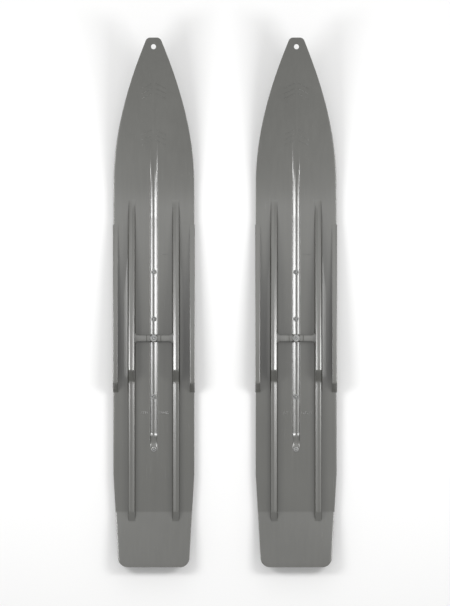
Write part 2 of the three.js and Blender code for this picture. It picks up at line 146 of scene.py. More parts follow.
def bezier(points, t):
    """A point on a Bezier curve of any degree, by repeated halving of its control lines."""
    points = [Vector(p) for p in points]
    while len(points) > 1:
        points = [a.lerp(b, t) for a, b in zip(points, points[1:])]
    return points[0]


TIP_SIDE = [
    (half_width, SHOULDER_Y),
    (half_width, SHOULDER_Y + SHOULDER_PULL),
    (side_x + SIDE_PULL * math.sin(SIDE_ANGLE), side_y - SIDE_PULL * math.cos(SIDE_ANGLE)),
    (side_x, side_y),
]


def half_at(y):
    """Half the blade's width at a station."""
    if y >= side_y:
        return TIP_FLAT / 2 + math.sqrt(max(0, TIP_CORNER**2 - (y - corner_y) ** 2))
    if y > SHOULDER_Y:
        low, high = 0.0, 1.0
        for _ in range(30):
            middle = (low + high) / 2
            if bezier(TIP_SIDE, middle).y < y:
                low = middle
            else:
                high = middle
        return bezier(TIP_SIDE, low).x
    if y > TAPER_Y:
        return half_width
    round_y = tail_y + TAIL_CORNER
    if y > round_y:
        return tail_half + TAIL_TAPER * (y - round_y) / (TAPER_Y - round_y)
    return tail_half - TAIL_CORNER + math.sqrt(max(0, TAIL_CORNER**2 - (round_y - y) ** 2))


print("half widths:", [round(half_at(y), 1) for y in (tip_y, 400, 0, tail_y + 5)])

# %% [markdown]
# The blade is a curved plate with a groove in its deck and a hollow keel below. It could be carved
# from a block with booleans, but then every fillet would need its own cutter. A grid is better
# here: its columns are placed where the surface turns, and each vertex is lifted to the height of
# the deck. The running face is the same grid, extruded down.

# %% Lay out the blade's grid
GROOVE_HALF = 7.0
GROOVE_DEPTH = 8.0
GROOVE_ENDS = (-285.0, curve_y + 73.0)
GROOVE_RAMPS = (20.0, 88.0)
KEEL_SOLE_HALF = 9.0
KEEL_ROOT_HALF = 13.0
KEEL_BACK = -318.3
KEEL_RAMP = 40.0
KEEL_FRONT = GROOVE_ENDS[1] + 2 * GROOVE_HALF
KEEL_END_SLOPE = 5.0
RIM_RADIUS = 0.5
RIM_STEPS = 4
ARC_STEPS = 8
ROW_SPACING = 5


def spread(stops, spacing):
    """Stations that include every stop, with steps no longer than the spacing between them."""
    stations = [stops[0]]
    for a, b in zip(stops, stops[1:]):
        count = max(1, math.ceil((b - a) / spacing))
        stations += [a + (b - a) * i / count for i in range(1, count + 1)]
    return stations


def rounded_end(radius, steps):
    """Distances from an edge that follow a quarter circle of that radius."""
    return [radius * (1 - math.cos(math.pi / 2 * i / steps)) for i in range(steps + 1)]


def end_rows(radius, steps):
    """Distances from an end of the blade, for its rounded rim and for corners of that radius."""
    past_rim = (d for d in rounded_end(radius, steps) if d > RIM_RADIUS)
    return sorted({*rounded_end(RIM_RADIUS, RIM_STEPS), *past_rim})


groove_columns = [GROOVE_HALF * math.sin(math.pi / 2 * i / ARC_STEPS) for i in range(ARC_STEPS + 1)]
lip_columns = [GROOVE_HALF + across for across in (0.04, 0.1, 0.2, 0.5, 1.1)]
keel_columns = [KEEL_SOLE_HALF + across for across in (-0.4, 0, 0.6, 2.2)]
keel_columns += [KEEL_ROOT_HALF + across for across in (-0.6, 0, 0.8)]
deck_columns = spread([16, 70, 76], 6)
rim_columns = sorted(half_width - d for d in rounded_end(RIM_RADIUS, RIM_STEPS))
half_columns = groove_columns + lip_columns + keel_columns + deck_columns + [77.5] + rim_columns
columns = [-x for x in reversed(half_columns[1:])] + half_columns

corner_rows = end_rows(TAIL_CORNER, 8)
nose_rows = end_rows(TIP_CORNER, 7)
long_stops = [
    tail_y + TAIL_CORNER, crease_y - 3, crease_y - 1, crease_y, crease_y + 1, crease_y + 3,
    KEEL_BACK - KEEL_RAMP, TAPER_Y, KEEL_BACK, GROOVE_ENDS[0], GROOVE_ENDS[0] + GROOVE_RAMPS[0],
    GROOVE_ENDS[1] - GROOVE_RAMPS[1], curve_y, SHOULDER_Y, GROOVE_ENDS[1], KEEL_FRONT, corner_y,
]
tail_rows = [tail_y + d for d in corner_rows[:-1]]
tip_rows = [tip_y - d for d in reversed(nose_rows[:-1])]
rows = tail_rows + spread(long_stops, ROW_SPACING) + tip_rows
print(f"{len(columns)} columns by {len(rows)} rows")

# %% [markdown]
# The deck is lowered by the groove, a shallow V between steep walls, and by a small round along its
# rim. The running face is lowered by the keel, which is flat where the runner lies and rises to the
# plate at both ends.

# %% Give the deck and the running face their heights
GROOVE_LIP = 2.0
GROOVE_SLOPE = 0.3
GROOVE_VALLEY = 1.8
GROOVE_WALL = 6.5
GROOVE_POWER = 24
GROOVE_LIP_SLOPE = 20
KEEL_FILLET = 1.2
RIM_FALL = 0.15
RIM_FALL_WIDTH = 10.0
RIB_HEIGHT = 0.2
RIB_WIDTH = 1.3
RIB_FADE = 6
RIB_ENDS = (curve_y + 137, curve_y + 250)
PROBE_STEP = 0.05


def groove_depth(x, y):
    """How far the groove takes the deck down. Its section is a shallow V between steep walls."""
    back = (y - GROOVE_ENDS[0]) / GROOVE_RAMPS[0]
    front = (GROOVE_ENDS[1] - y) / GROOVE_RAMPS[1]
    depth = GROOVE_DEPTH * min(1, back, front)
    across = min(abs(x), GROOVE_HALF)
    sag = GROOVE_SLOPE * (math.hypot(across, GROOVE_VALLEY) - GROOVE_VALLEY)
    sag += GROOVE_WALL * (across / GROOVE_HALF) ** GROOVE_POWER + GROOVE_LIP_SLOPE * (abs(x) - across)
    return soft_max(0, depth - sag, GROOVE_LIP) - soft_max(0, -GROOVE_DEPTH, GROOVE_LIP)


def keel_z(x, y):
    """The keel's underside: flat along the runner, faired up at both ends and leaning in at its sides."""
    ramp = PLATE / 2 + KEEL_DEPTH
    back = sole_z + ramp * max(0, KEEL_BACK - y) / KEEL_RAMP
    rise = surface_z(KEEL_FRONT, PLATE / 2) - sole_z
    front = sole_z + rise * max(0, y - curve_y) / (KEEL_FRONT - curve_y)
    front += KEEL_END_SLOPE * max(0, y - KEEL_FRONT)
    flank = sole_z + (abs(x) - KEEL_SOLE_HALF) * KEEL_DEPTH / (KEEL_ROOT_HALF - KEEL_SOLE_HALF)
    return soft_max(max(back, front), flank, KEEL_FILLET)


def edge_distance(x, y):
    """How far a point is from the blade's outline."""
    half = half_at(y)
    inside = min(tip_y - PROBE_STEP, max(tail_y + PROBE_STEP, y))
    slope = (half_at(inside + PROBE_STEP) - half_at(inside - PROBE_STEP)) / (2 * PROBE_STEP)
    return max(0, min((half - abs(x)) / math.hypot(1, slope), y - tail_y, tip_y - y))


def rim_drop(distance):
    """How much the rounded rim and the gentle fall beside it lower the deck."""
    inward = min(distance, RIM_RADIUS)
    drop = RIM_RADIUS - math.sqrt(RIM_RADIUS**2 - (RIM_RADIUS - inward) ** 2)
    fall = max(0, 1 - distance / RIM_FALL_WIDTH)
    return drop + RIM_FALL * fall**2


def rib_height(x, y):
    """The faint raised line along the middle of the tip."""
    back = min(1, max(0, (y - RIB_ENDS[0]) / RIB_FADE))
    front = min(1, max(0, (RIB_ENDS[1] - y) / RIB_FADE))
    return RIB_HEIGHT * (back * front) * math.exp(-((x / RIB_WIDTH) ** 2))


def deck_height(x, y):
    level = surface_z(y, PLATE) - rim_drop(edge_distance(x, y)) + rib_height(x, y)
    return level - groove_depth(x, y)


def face_height(x, y):
    """Height of the running face, keel included."""
    distance = min(edge_distance(x, y), RIM_RADIUS)
    lift = RIM_RADIUS - math.sqrt(RIM_RADIUS**2 - (RIM_RADIUS - distance) ** 2)
    return soft_min(surface_z(y, 0) + lift, keel_z(x, y), KEEL_FILLET)


def grid_mesh(column_count, row_count, place):
    """A grid whose vertex in column i and row j goes where place(i, j) says."""
    bm = bmesh.new()
    bmesh.ops.create_grid(bm, x_segments=column_count - 1, y_segments=row_count - 1, size=1)
    for vert in bm.verts:
        i = round((vert.co.x + 1) / 2 * (column_count - 1))
        j = round((vert.co.y + 1) / 2 * (row_count - 1))
        vert.co = place(i, j)
    return bm


def blade_point(i, j):
    y = rows[j]
    x = columns[i] * half_at(y) / half_width
    return Vector((x, y, deck_height(x, y)))


def blade_mesh():
    bm = grid_mesh(len(columns), len(rows), blade_point)
    deck = list(bm.faces)
    made = bmesh.ops.extrude_face_region(bm, geom=deck, use_keep_orig=True)
    for vert in made["geom"]:
        if isinstance(vert, bmesh.types.BMVert):
            vert.co.z = face_height(vert.co.x, vert.co.y)
    return bm


blank = blade_mesh()
print("blade blank:", len(blank.faces), "faces")

# %% [markdown]
# Round holes and their countersinks are turned shapes. A profile is drawn as a few points from the
# axis outwards and `spin` carries it once round. The same helper makes the screws, nuts and washers
# later, because those are turned on a lathe in real life too.

# %% Turn profiles and cut with them
ROUND_STEPS = 48
WELD = 1e-4


def turned(profile, x=0.0, y=0.0, closed=False):
    """A solid of revolution about an upright axis, from [radius, z] points. A closed profile makes a ring."""
    bm = bmesh.new()
    verts = [bm.verts.new((radius, 0, z)) for radius, z in profile]
    pairs = list(zip(verts, verts[1:])) + ([(verts[-1], verts[0])] if closed else [])
    edges = [bm.edges.new(pair) for pair in pairs]
    bmesh.ops.spin(
        bm, geom=verts + edges, cent=(0, 0, 0), axis=(0, 0, 1), angle=2 * math.pi,
        steps=ROUND_STEPS, use_merge=True,
    )
    bmesh.ops.remove_doubles(bm, verts=bm.verts, dist=WELD)
    bmesh.ops.recalc_face_normals(bm, faces=bm.faces)
    bmesh.ops.translate(bm, verts=bm.verts, vec=(x, y, 0))
    return bm


def object_from(bm, name):
    mesh = bpy.data.meshes.new(name)
    bm.to_mesh(mesh)
    bm.free()
    made = bpy.data.objects.new(name, mesh)
    bpy.context.scene.collection.objects.link(made)
    return made


def merged(meshes):
    """One mesh that holds several, which are used up."""
    together = bmesh.new()
    for mesh in meshes:
        scratch = bpy.data.meshes.new("scratch")
        mesh.to_mesh(scratch)
        mesh.free()
        together.from_mesh(scratch)
        bpy.data.meshes.remove(scratch)
    return together


def combined(bm, others, operation):
    """Joins, cuts or intersects a mesh with others, by an exact Boolean modifier read back at once."""
    host = object_from(bm, "host")
    tool = object_from(merged(others), "tool")
    modifier = host.modifiers.new("shape", "BOOLEAN")
    modifier.operation = operation
    modifier.solver = "EXACT"
    modifier.object = tool
    evaluated = host.evaluated_get(bpy.context.evaluated_depsgraph_get())
    result = bmesh.new()
    result.from_mesh(evaluated.to_mesh())
    evaluated.to_mesh_clear()
    for scrap in (host, tool):
        mesh = scrap.data
        bpy.data.objects.remove(scrap)
        bpy.data.meshes.remove(mesh)
    bmesh.ops.remove_doubles(result, verts=result.verts, dist=WELD)
    return result


# %% [markdown]
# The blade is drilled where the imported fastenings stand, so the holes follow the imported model.
# Holes for countersunk heads open downwards, the tee nuts' seats open upwards into the groove, and
# the tip has a tow hole.

# %% Drill the blade
BRACE_SCREW_RADIUS = 2.8
HEAD_RIM = 0.4
HEAD_RECESS = 0.3
FAR = 60.0
PAST = 9.0
TIP_HOLE_RADIUS = 5.0
TIP_HOLE_INSET = 18.0
DECK_HEAD = 3.9
DECK_SHANK = 2.3
NUT_SEAT = 5.3
NUT_SLEEVE = 4.2
NUT_SINK = 1.5


def middle_of(part):
    low, high = box_of(part)
    return (low.x + high.x) / 2, (low.y + high.y) / 2


def numbered(stem):
    """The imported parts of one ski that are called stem_1, stem_2 and so on."""
    found = [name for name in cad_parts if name.startswith(f"left_ski_{stem}_")]
    return sorted(name.removeprefix("left_ski_") for name in found if name[-1].isdigit())


def rod(radius, low, high, x, y):
    """An upright rod, which cuts a plain round hole."""
    return turned([(0, low), (radius, low), (radius, high), (0, high)], x, y)


def sunk_hole(x, y, z, head, shank, top):
    """What a countersink takes out of a face that looks down at height z."""
    rim = z + HEAD_RECESS + HEAD_RIM
    neck = rim + head - shank
    profile = [(0, z - FAR), (head, z - FAR), (head, rim), (shank, neck), (shank, top), (0, top)]
    return turned(profile, x, y)


def blade_cutters():
    hole_y = tip_y - TIP_HOLE_INSET
    low, high = surface_z(hole_y, 0) - PAST, surface_z(hole_y, PLATE) + PAST
    cutters = [rod(TIP_HOLE_RADIUS, low, high, 0, hole_y)]
    for part in numbered("tee_nut"):
        x, y = middle_of(part)
        seat = box_of(part)[1].z - NUT_SINK
        sleeve = [(0, 0), (NUT_SLEEVE, 0), (NUT_SLEEVE, seat)]
        profile = sleeve + [(NUT_SEAT, seat), (NUT_SEAT, FAR), (0, FAR)]
        cutters.append(turned(profile, x, y))
    cutters.append(rod(BRACE_SCREW_RADIUS, 0, FAR, *middle_of("brace_screw")))
    for hand, _ in HANDS:
        for part in numbered(f"{hand}_stringer_screw") + numbered(f"{hand}_rail_screw"):
            cutters.append(sunk_hole(*middle_of(part), base_z, DECK_HEAD, DECK_SHANK, deck_z + 2))
    return cutters


blade_master = combined(blank, blade_cutters(), "DIFFERENCE")
print("drilled blade:", len(blade_master.faces), "faces")

# %% [markdown]
# A stringer or a rail has the same kind of section all along its length, only its height changes.
# That is a loft: one closed section after another, joined by faces. The loft is the same grid as
# before, rolled into a tube, with its seam welded and its two ends filled. Each section has small
# round corners that shrink where the wedge is thin.

# %% Loft closed sections
CORNER_STEPS = 4


def rounded_corners(corners):
    """A closed section from [a, b, radius] corners, with each corner turned in a few short steps."""
    section = []
    for i, (a, b, radius) in enumerate(corners):
        here = Vector((a, b))
        before = Vector(corners[i - 1][:2])
        after = Vector(corners[(i + 1) % len(corners)][:2])
        if not radius:
            section.append(here)
            continue
        pulls = []
        for other in (before, after):
            reach = min(radius, (other - here).length / 2)
            pulls.append(here + (other - here).normalized() * reach)
        section += [bezier([pulls[0], here, pulls[1]], k / CORNER_STEPS) for k in range(CORNER_STEPS + 1)]
    return section


def loft(sections):
    """A closed solid through a row of sections that all have as many points."""
    count = len(sections[0])
    bm = grid_mesh(count + 1, len(sections), lambda i, j: Vector(sections[j][i % count]))
    bmesh.ops.remove_doubles(bm, verts=bm.verts, dist=WELD)
    open_edges = [edge for edge in bm.edges if edge.is_boundary]
    bmesh.ops.holes_fill(bm, edges=open_edges, sides=0)
    bmesh.ops.recalc_face_normals(bm, faces=bm.faces)
    return bm


# %% [markdown]
# A stringer climbs from the deck to its peak, steps down and runs low to a sloped heel. Its top
# slopes gently from a shoulder down to the upper end of the inner flank, its outer edge is bevelled
# and its outer foot sweeps out low.

# %% Shape a stringer
STRINGER_PEAK = -135.0
STRINGER_STEP = 22.0
STRINGER_LOW = 14.0
BACK_SLOPE = 18.0
DRAFT = 1.0
FOOT = 2.6
CROWN = 3.0
EDGE_ROUND = 0.8
OUTER_BEVEL = 2.8
SHOULDER_X = 44.4
BEVEL_SLOPE = 0.15
SHOULDER_SLOPE = 0.23
FLARE_WIDTH = 14.0
FLARE_HEIGHT = 0.8
FLARE_RISE = 12.0
FLARE_LEAST = 0.05
WEDGE_SPACING = 5.0
SOFT_STEP = 1.2
THINNEST = 0.25
SINK = 0.05
FOOT_SHARE = 0.45
CORNER_SHARE = 0.05

stringer_low, stringer_high = box_of("right_stringer")
stringer_front, stringer_back = stringer_high.y, stringer_low.y
stringer_height = stringer_high.z - deck_z
stringer_outer = 50.0
stringer_root = 38.5


def wedge_top(y, front, peak, height):
    """Top of a crowned wedge that starts on the deck at its front and ends at its peak."""
    foot = deck_z + CLEARANCE
    top = deck_z + height
    t = (front - y) / (front - peak)
    return bezier([(0, foot), (0, (foot + top) / 2 + 2 * CROWN), (0, top)], t).y


def stringer_top(y):
    low = deck_z + STRINGER_LOW
    if y >= STRINGER_PEAK:
        return wedge_top(y, stringer_front, STRINGER_PEAK, stringer_height)
    if y >= STRINGER_PEAK - STRINGER_STEP:
        return low + (stringer_height - STRINGER_LOW) * (y - STRINGER_PEAK + STRINGER_STEP) / STRINGER_STEP
    if y >= stringer_back + BACK_SLOPE:
        return low
    heel = surface_z(stringer_back, PLATE) + CLEARANCE
    return heel + (low - heel) * (y - stringer_back) / BACK_SLOPE


def softened(height, y, low, high):
    """The mean height close to a station, which rounds off the corners of a side view."""
    shifts = (-SOFT_STEP, -SOFT_STEP / 2, 0, SOFT_STEP / 2, SOFT_STEP)
    near = [min(high, max(low, y + shift)) for shift in shifts]
    return sum(height(station) for station in near) / len(near)


def around(corner):
    """Stations that catch the rounding of one corner of a side view."""
    return [corner + SOFT_STEP * k for k in (-1.5, -0.75, 0, 0.75, 1.5)]


def flank_x(height):
    """How far out a stringer's inner flank is, at a height above the deck."""
    if height < FOOT:
        return stringer_root - FOOT + height
    return stringer_root + DRAFT * (height - FOOT) / (stringer_height - FOOT)


def stringer_section(side, y):
    """A stringer's section: a low sweep onto the deck, the outer edge, the shoulder and the flank."""
    deck = surface_z(y, PLATE) - SINK
    height = max(THINNEST, softened(stringer_top, y, stringer_back, stringer_front) - deck)
    foot = min(FOOT, height * FOOT_SHARE)
    inner = flank_x(height)
    bevel = min(BEVEL_SLOPE, height * CORNER_SHARE)
    slope = min(SHOULDER_SLOPE, height * CORNER_SHARE)
    flare = min(1, max(FLARE_LEAST, (height - STRINGER_LOW) / FLARE_RISE))
    sweep = [
        (foot + FLARE_WIDTH * flare * u, FLARE_HEIGHT * flare * (1 - u) ** 2)
        for u in (1, 0.75, 0.5, 0.25, 0)
    ]
    corners = [
        *((side * (stringer_outer + out), up, 0) for out, up in sweep),
        (side * stringer_outer, foot + FLARE_HEIGHT * flare, foot * 0.5),
        (side * stringer_outer, height - bevel * OUTER_BEVEL, bevel),
        (side * (stringer_outer - OUTER_BEVEL), height, EDGE_ROUND),
        (side * SHOULDER_X, height, EDGE_ROUND),
        (side * inner, height - slope * (SHOULDER_X - inner), slope),
        (side * stringer_root, foot * 0.9, foot * 0.7),
        (side * (stringer_root - foot), 0, 0),
    ]
    return [(x, y, deck + z) for x, z in rounded_corners(corners)]


def stringer_mesh(side):
    slope_end = stringer_back + BACK_SLOPE
    stops = [stringer_back, stringer_back + 1, *around(slope_end), *around(STRINGER_PEAK - STRINGER_STEP)]
    stops += [*around(STRINGER_PEAK), stringer_front - 6, stringer_front]
    return loft([stringer_section(side, y) for y in spread(stops, WEDGE_SPACING)])


# %% [markdown]
# A rail is a plain wedge along the blade's edge. It climbs from its front end to its peak and comes
# back down to the deck behind it. Its outer side hangs a little over the blade's rim.

# %% Shape a rail
RAIL_PEAK = -161.0
RAIL_DRAFT = 1.0
RAIL_ROUND = 1.0
RAIL_CORNER_SHARE = 0.4

rail_low, rail_high = box_of("right_rail")
rail_front, rail_back = rail_high.y, rail_low.y
rail_height = rail_high.z - deck_z
rail_outer = rail_high.x
rail_inner = rail_low.x


def rail_top(y):
    if y >= RAIL_PEAK:
        return wedge_top(y, rail_front, RAIL_PEAK, rail_height)
    heel = deck_z + CLEARANCE
    return heel + (rail_height - CLEARANCE) * (y - rail_back) / (RAIL_PEAK - rail_back)


def rail_section(side, y):
    """A rail's section. Its foot follows the blade's rounded rim down."""
    height = max(THINNEST, softened(rail_top, y, rail_back, rail_front) - deck_z)
    turn = min(RAIL_ROUND, height * RAIL_CORNER_SHARE)
    corners = [
        (side * (half_width - 2.5), -0.3, 0),
        (side * (half_width - 0.6), -1.2, 0),
        (side * rail_outer, -1.9, 0),
        (side * rail_outer, height, turn),
        (side * (rail_inner + RAIL_DRAFT * height / rail_height), height, turn),
        (side * rail_inner, -SINK, 0),
    ]
    return [(x, y, deck_z + z) for x, z in rounded_corners(corners)]


def rail_mesh(side):
    stops = [rail_back, rail_back + 1, *around(RAIL_PEAK), rail_front - 6, rail_front]
    return loft([rail_section(side, y) for y in spread(stops, WEDGE_SPACING)])


# %% [markdown]
# The brace is a web across the groove. Its ends flare where they meet the stringers and lean with
# their flanks, and its middle carries a raised pad and a round boss for the bolt. Its top falls
# slightly towards the tip. The web is a loft across the ski, and the boss is turned and joined on.

# %% Shape the brace
BRACE_HALF = 6.0
BRACE_FLARE = 4.0
FLARE_LENGTH = 9.0
PAD_HALF = 14.0
PAD_STEP = 1.2
BOSS_RADIUS = 8.0
BOSS_STEP = 1.0
BRACE_ROUND = 1.0
BRACE_FALL = 1.1
BRACE_GAP = 0.05
BRACE_SPACING = 4.0
FLARE_SPACING = 1.2

brace_low, brace_high = box_of("brace")
brace_y = (brace_low.y + brace_high.y) / 2
boss_top = brace_high.z
brace_top = boss_top - BOSS_STEP - PAD_STEP
brace_foot = deck_z + BRACE_GAP
brace_reach = flank_x(brace_top - deck_z) - CLEARANCE


def brace_section(x):
    """The brace's section at x. Every point slides along X, so that the ends lean with the stringers."""
    near_end = max(0, abs(x) - (brace_reach - FLARE_LENGTH)) / FLARE_LENGTH
    half = BRACE_HALF + BRACE_FLARE * near_end**2
    on_pad = min(1, max(0, (PAD_HALF + 0.5 - abs(x)) / 1.0))
    top = brace_top + PAD_STEP * on_pad
    corners = [
        (-half, brace_foot, 0),
        (half, brace_foot, 0),
        (half, top - BRACE_FALL, BRACE_ROUND),
        (-half, top, BRACE_ROUND),
    ]
    section = []
    for y, z in rounded_corners(corners):
        lean = (flank_x(min(z, brace_top) - deck_z) - CLEARANCE / 2) / brace_reach
        section.append((x * lean, brace_y + y, z))
    return section


def brace_mesh():
    pad = [PAD_HALF + shift for shift in (-0.6, -0.3, 0.3, 0.6)]
    right = spread([0, *pad, brace_reach - FLARE_LENGTH], BRACE_SPACING)
    right += spread([brace_reach - FLARE_LENGTH, brace_reach], FLARE_SPACING)[1:]
    stations = [-x for x in reversed(right[1:])] + right
    web = loft([brace_section(x) for x in stations])
    lip = BOSS_RADIUS - BRACE_ROUND
    turns = [math.pi / 8 * k for k in range(5)]
    round_lip = [
        (lip + BRACE_ROUND * math.cos(turn), boss_top - BRACE_ROUND * (1 - math.sin(turn)))
        for turn in turns
    ]
    profile = [(0, brace_foot), (BOSS_RADIUS, brace_foot), *round_lip, (0, boss_top)]
    joined = combined(web, [turned(profile, 0, brace_y)], "UNION")
    return combined(joined, [rod(BRACE_SCREW_RADIUS, 0, FAR, 0, brace_y)], "DIFFERENCE")


# %% [markdown]
# The runner is a drawn steel flat bar. Its ends are ground to toes so that they don't dig in, its
# lower edges are chamfered, and each screw sits in a countersunk hole.

# %% Shape the runner
RUNNER_CHAMFER = 1.5
RUNNER_RAMP = 14.0
RUNNER_TOE = 3.0
RUNNER_HEAD = 4.9
RUNNER_SHANK = 2.8
EDGE_BREAK = 0.25

runner_low, runner_high = box_of("runner")


def runner_bottom(y):
    """Height of the runner's lower face, which rises to a toe at each end."""
    end = min(y - runner_low.y, runner_high.y - y)
    return RUNNER_TOE * soft_max(0, 1 - end / RUNNER_RAMP, 0.08) - 0.001


def runner_section(y):
    half, top = runner_high.x, runner_high.z
    bottom = max(0, runner_bottom(y))
    side = min(bottom + RUNNER_CHAMFER, top - EDGE_BREAK)
    corners = [
        (-half + RUNNER_CHAMFER, bottom, EDGE_BREAK),
        (half - RUNNER_CHAMFER, bottom, EDGE_BREAK),
        (half, side, EDGE_BREAK),
        (half, top, EDGE_BREAK),
        (-half, top, EDGE_BREAK),
        (-half, side, EDGE_BREAK),
    ]
    return [(x, y, z) for x, z in rounded_corners(corners)]


def runner_mesh():
    low, high = runner_low.y, runner_high.y
    stops = [low, *around(low + RUNNER_RAMP), *around(high - RUNNER_RAMP), high]
    bar = loft([runner_section(y) for y in spread(stops, 8)])
    holes = [middle_of(part) for part in numbered("runner_screw") + ["brace_screw"]]
    cutters = [sunk_hole(x, y, 0, RUNNER_HEAD, RUNNER_SHANK, FAR) for x, y in holes]
    return combined(bar, cutters, "DIFFERENCE")


# %% [markdown]
# Screws, nuts and washers are small, but they are what a close look lands on. A screw is turned
# with its head, its thread and a chamfered end, and its driver socket is cut afterwards. The thread
# is a stack of V-shaped ridges: at this size a true helix looks the same and costs many more faces.

# %% Make the fastenings
THREAD_DEPTH = 0.3
SMALL_CHAMFER = 0.4
HEAD_BREAK = 0.15


def thread(radius, low, high, pitch):
    """The ridges of a thread between two heights, as a profile that goes up."""
    count = int((high - low) / pitch)
    profile = []
    for k in range(count):
        z = low + k * pitch
        profile.append((radius - THREAD_DEPTH, z + 0.1 * pitch))
        profile += [(radius, z + 0.45 * pitch), (radius, z + 0.6 * pitch)]
    return profile


def prism(sides, across, low, high, x=0.0, y=0.0):
    """An upright prism with a regular outline, sized across its flats."""
    bm = bmesh.new()
    corner = across / 2 / math.cos(math.pi / sides)
    bmesh.ops.create_circle(bm, cap_ends=True, segments=sides, radius=corner)
    made = bmesh.ops.extrude_face_region(bm, geom=list(bm.faces))
    lifted = [part for part in made["geom"] if isinstance(part, bmesh.types.BMVert)]
    bmesh.ops.translate(bm, verts=lifted, vec=(0, 0, high - low))
    bmesh.ops.recalc_face_normals(bm, faces=bm.faces)
    bmesh.ops.translate(bm, verts=bm.verts, vec=(x, y, low))
    return bm


def slab(size, middle):
    """A box of that size about a middle point."""
    bm = bmesh.new()
    bmesh.ops.create_cube(bm, size=1)
    bmesh.ops.scale(bm, verts=bm.verts, vec=size)
    bmesh.ops.translate(bm, verts=bm.verts, vec=middle)
    return bm


def screw_mesh(part, shank, pitch, socket):
    """A countersunk screw that points up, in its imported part's place."""
    low, high = box_of(part)
    x, y = middle_of(part)
    head = (high.x - low.x) / 2
    rim = low.z + HEAD_RIM
    neck = rim + head - shank
    root, end = shank - THREAD_DEPTH, high.z - SMALL_CHAMFER
    profile = [(0, low.z), (head - HEAD_BREAK, low.z), (head, low.z + HEAD_BREAK)]
    profile += [(head, rim), (shank, neck)]
    profile += thread(shank, neck + 0.4, end, pitch)
    profile += [(root, end), (root - SMALL_CHAMFER, high.z), (0, high.z)]
    bm = turned(profile, x, y)
    if socket == "hex":
        return combined(bm, [prism(6, head * 0.66, low.z - 1, low.z + head * 0.5, x, y)], "DIFFERENCE")
    arm, width, depth = head * 1.1, head * 0.3, head * 0.4
    for size in ((arm, width, 2 * depth), (width, arm, 2 * depth)):
        bm = combined(bm, [slab(size, (x, y, low.z))], "DIFFERENCE")
    return bm


def tee_nut_mesh(part):
    """A tee nut: a dished round flange on a threaded sleeve."""
    low, high = box_of(part)
    flange = (high.x - low.x) / 2
    sleeve = NUT_SLEEVE - CLEARANCE
    seat = high.z - 1.2
    profile = [
        (RUNNER_SHANK, low.z),
        (sleeve, low.z),
        (sleeve, seat),
        (flange - 0.1, seat),
        (flange, seat + 0.2),
        (flange, high.z - 0.5),
        (flange - 0.2, high.z - 0.15),
        (flange - 0.6, high.z),
        (RUNNER_SHANK + 0.5, high.z),
        (RUNNER_SHANK, high.z - 0.4),
    ]
    return turned(profile, *middle_of(part), closed=True)


def washer_mesh():
    low, high = box_of("brace_washer")
    outer = (high.x - low.x) / 2
    bore, edge = RUNNER_SHANK, 0.2
    profile = [
        (bore, low.z),
        (outer - edge / 2, low.z),
        (outer, low.z + edge),
        (outer, high.z - edge),
        (outer - edge, high.z),
        (bore + edge, high.z),
        (bore, high.z - edge),
    ]
    return turned(profile, *middle_of("brace_washer"), closed=True)


def nut_mesh():
    """A hexagon nut: a prism whose corners a cone has chamfered, with a threaded bore."""
    low, high = box_of("brace_nut")
    x, y = middle_of("brace_nut")
    across = high.y - low.y
    corner = across / math.sqrt(3)
    half = across / 2
    chamfer = (corner - half) * 0.8
    cone = [
        (0, low.z),
        (half, low.z),
        (corner + 0.1, low.z + chamfer),
        (corner + 0.1, high.z - chamfer),
        (half, high.z),
        (0, high.z),
    ]
    bm = combined(prism(6, across, low.z, high.z, x, y), [turned(cone, x, y)], "INTERSECT")
    bore = RUNNER_SHANK
    cutter = [
        (0, low.z - 1),
        (bore + 0.5, low.z - 1),
        (bore, low.z + 0.5),
        (bore, high.z - 0.5),
        (bore + 0.5, high.z + 1),
        (0, high.z + 1),
    ]
    return combined(bm, [turned(cutter, x, y)], "DIFFERENCE")


# %% [markdown]
# The deck has a few small raised marks, as moulds leave them. They are plain here: two nests of
# chevrons on the tip, two rows of ticks behind the brace and one short line. Each mark is a thin
# bar with bevelled edges, cut into short lengths and laid onto the deck, so it follows the tip's
# curve.

# %% Shape the raised marks
MARK_HEIGHT = 0.8
MARK_SINK = 0.3
CHEVRON_TIPS = (438.0, 428.0, 418.0, 346.0, 336.0, 326.0)
CHEVRON_HALF = 24.0
CHEVRON_DROP = 10.0
CHEVRON_INNER = 4.0
CHEVRON_WIDTH = 1.2
TICK_Y = -220.0
TICK_PITCH = 4.0
TICK_ROWS = ((-25, 4), (10, 6))
TICK_HALF = 3.0
TICK_LEAN = 1.5
TICK_WIDTH = 1.1
SHORT_LINE = ((14, 97), (30, 97))
SHORT_LINE_WIDTH = 0.9
MARK_BEVEL = 0.2
MARK_LENGTHS = 8


def mark_bar(start, end, width):
    """A raised bar between two points of the deck."""
    start, end = Vector(start), Vector(end)
    run = end - start
    bm = slab((run.length, width, MARK_HEIGHT + MARK_SINK), (0, 0, 0))
    top = [edge for edge in bm.edges if all(vert.co.z > 0 for vert in edge.verts)]
    bmesh.ops.bevel(
        bm, geom=top, offset=MARK_BEVEL, segments=2, profile=0.5, affect="EDGES", material=-1
    )
    for k in range(1, MARK_LENGTHS):
        cut = (run.length * (k / MARK_LENGTHS - 0.5), 0, 0)
        everything = bm.verts[:] + bm.edges[:] + bm.faces[:]
        bmesh.ops.bisect_plane(bm, geom=everything, plane_co=cut, plane_no=(1, 0, 0))
    turn = Matrix.Rotation(math.atan2(run.y, run.x), 4, "Z")
    move = Matrix.Translation(((start + end) / 2).to_3d())
    bmesh.ops.transform(bm, matrix=move @ turn, verts=bm.verts)
    for vert in bm.verts:
        vert.co.z += surface_z(vert.co.y, PLATE) + (MARK_HEIGHT - MARK_SINK) / 2
    return bm


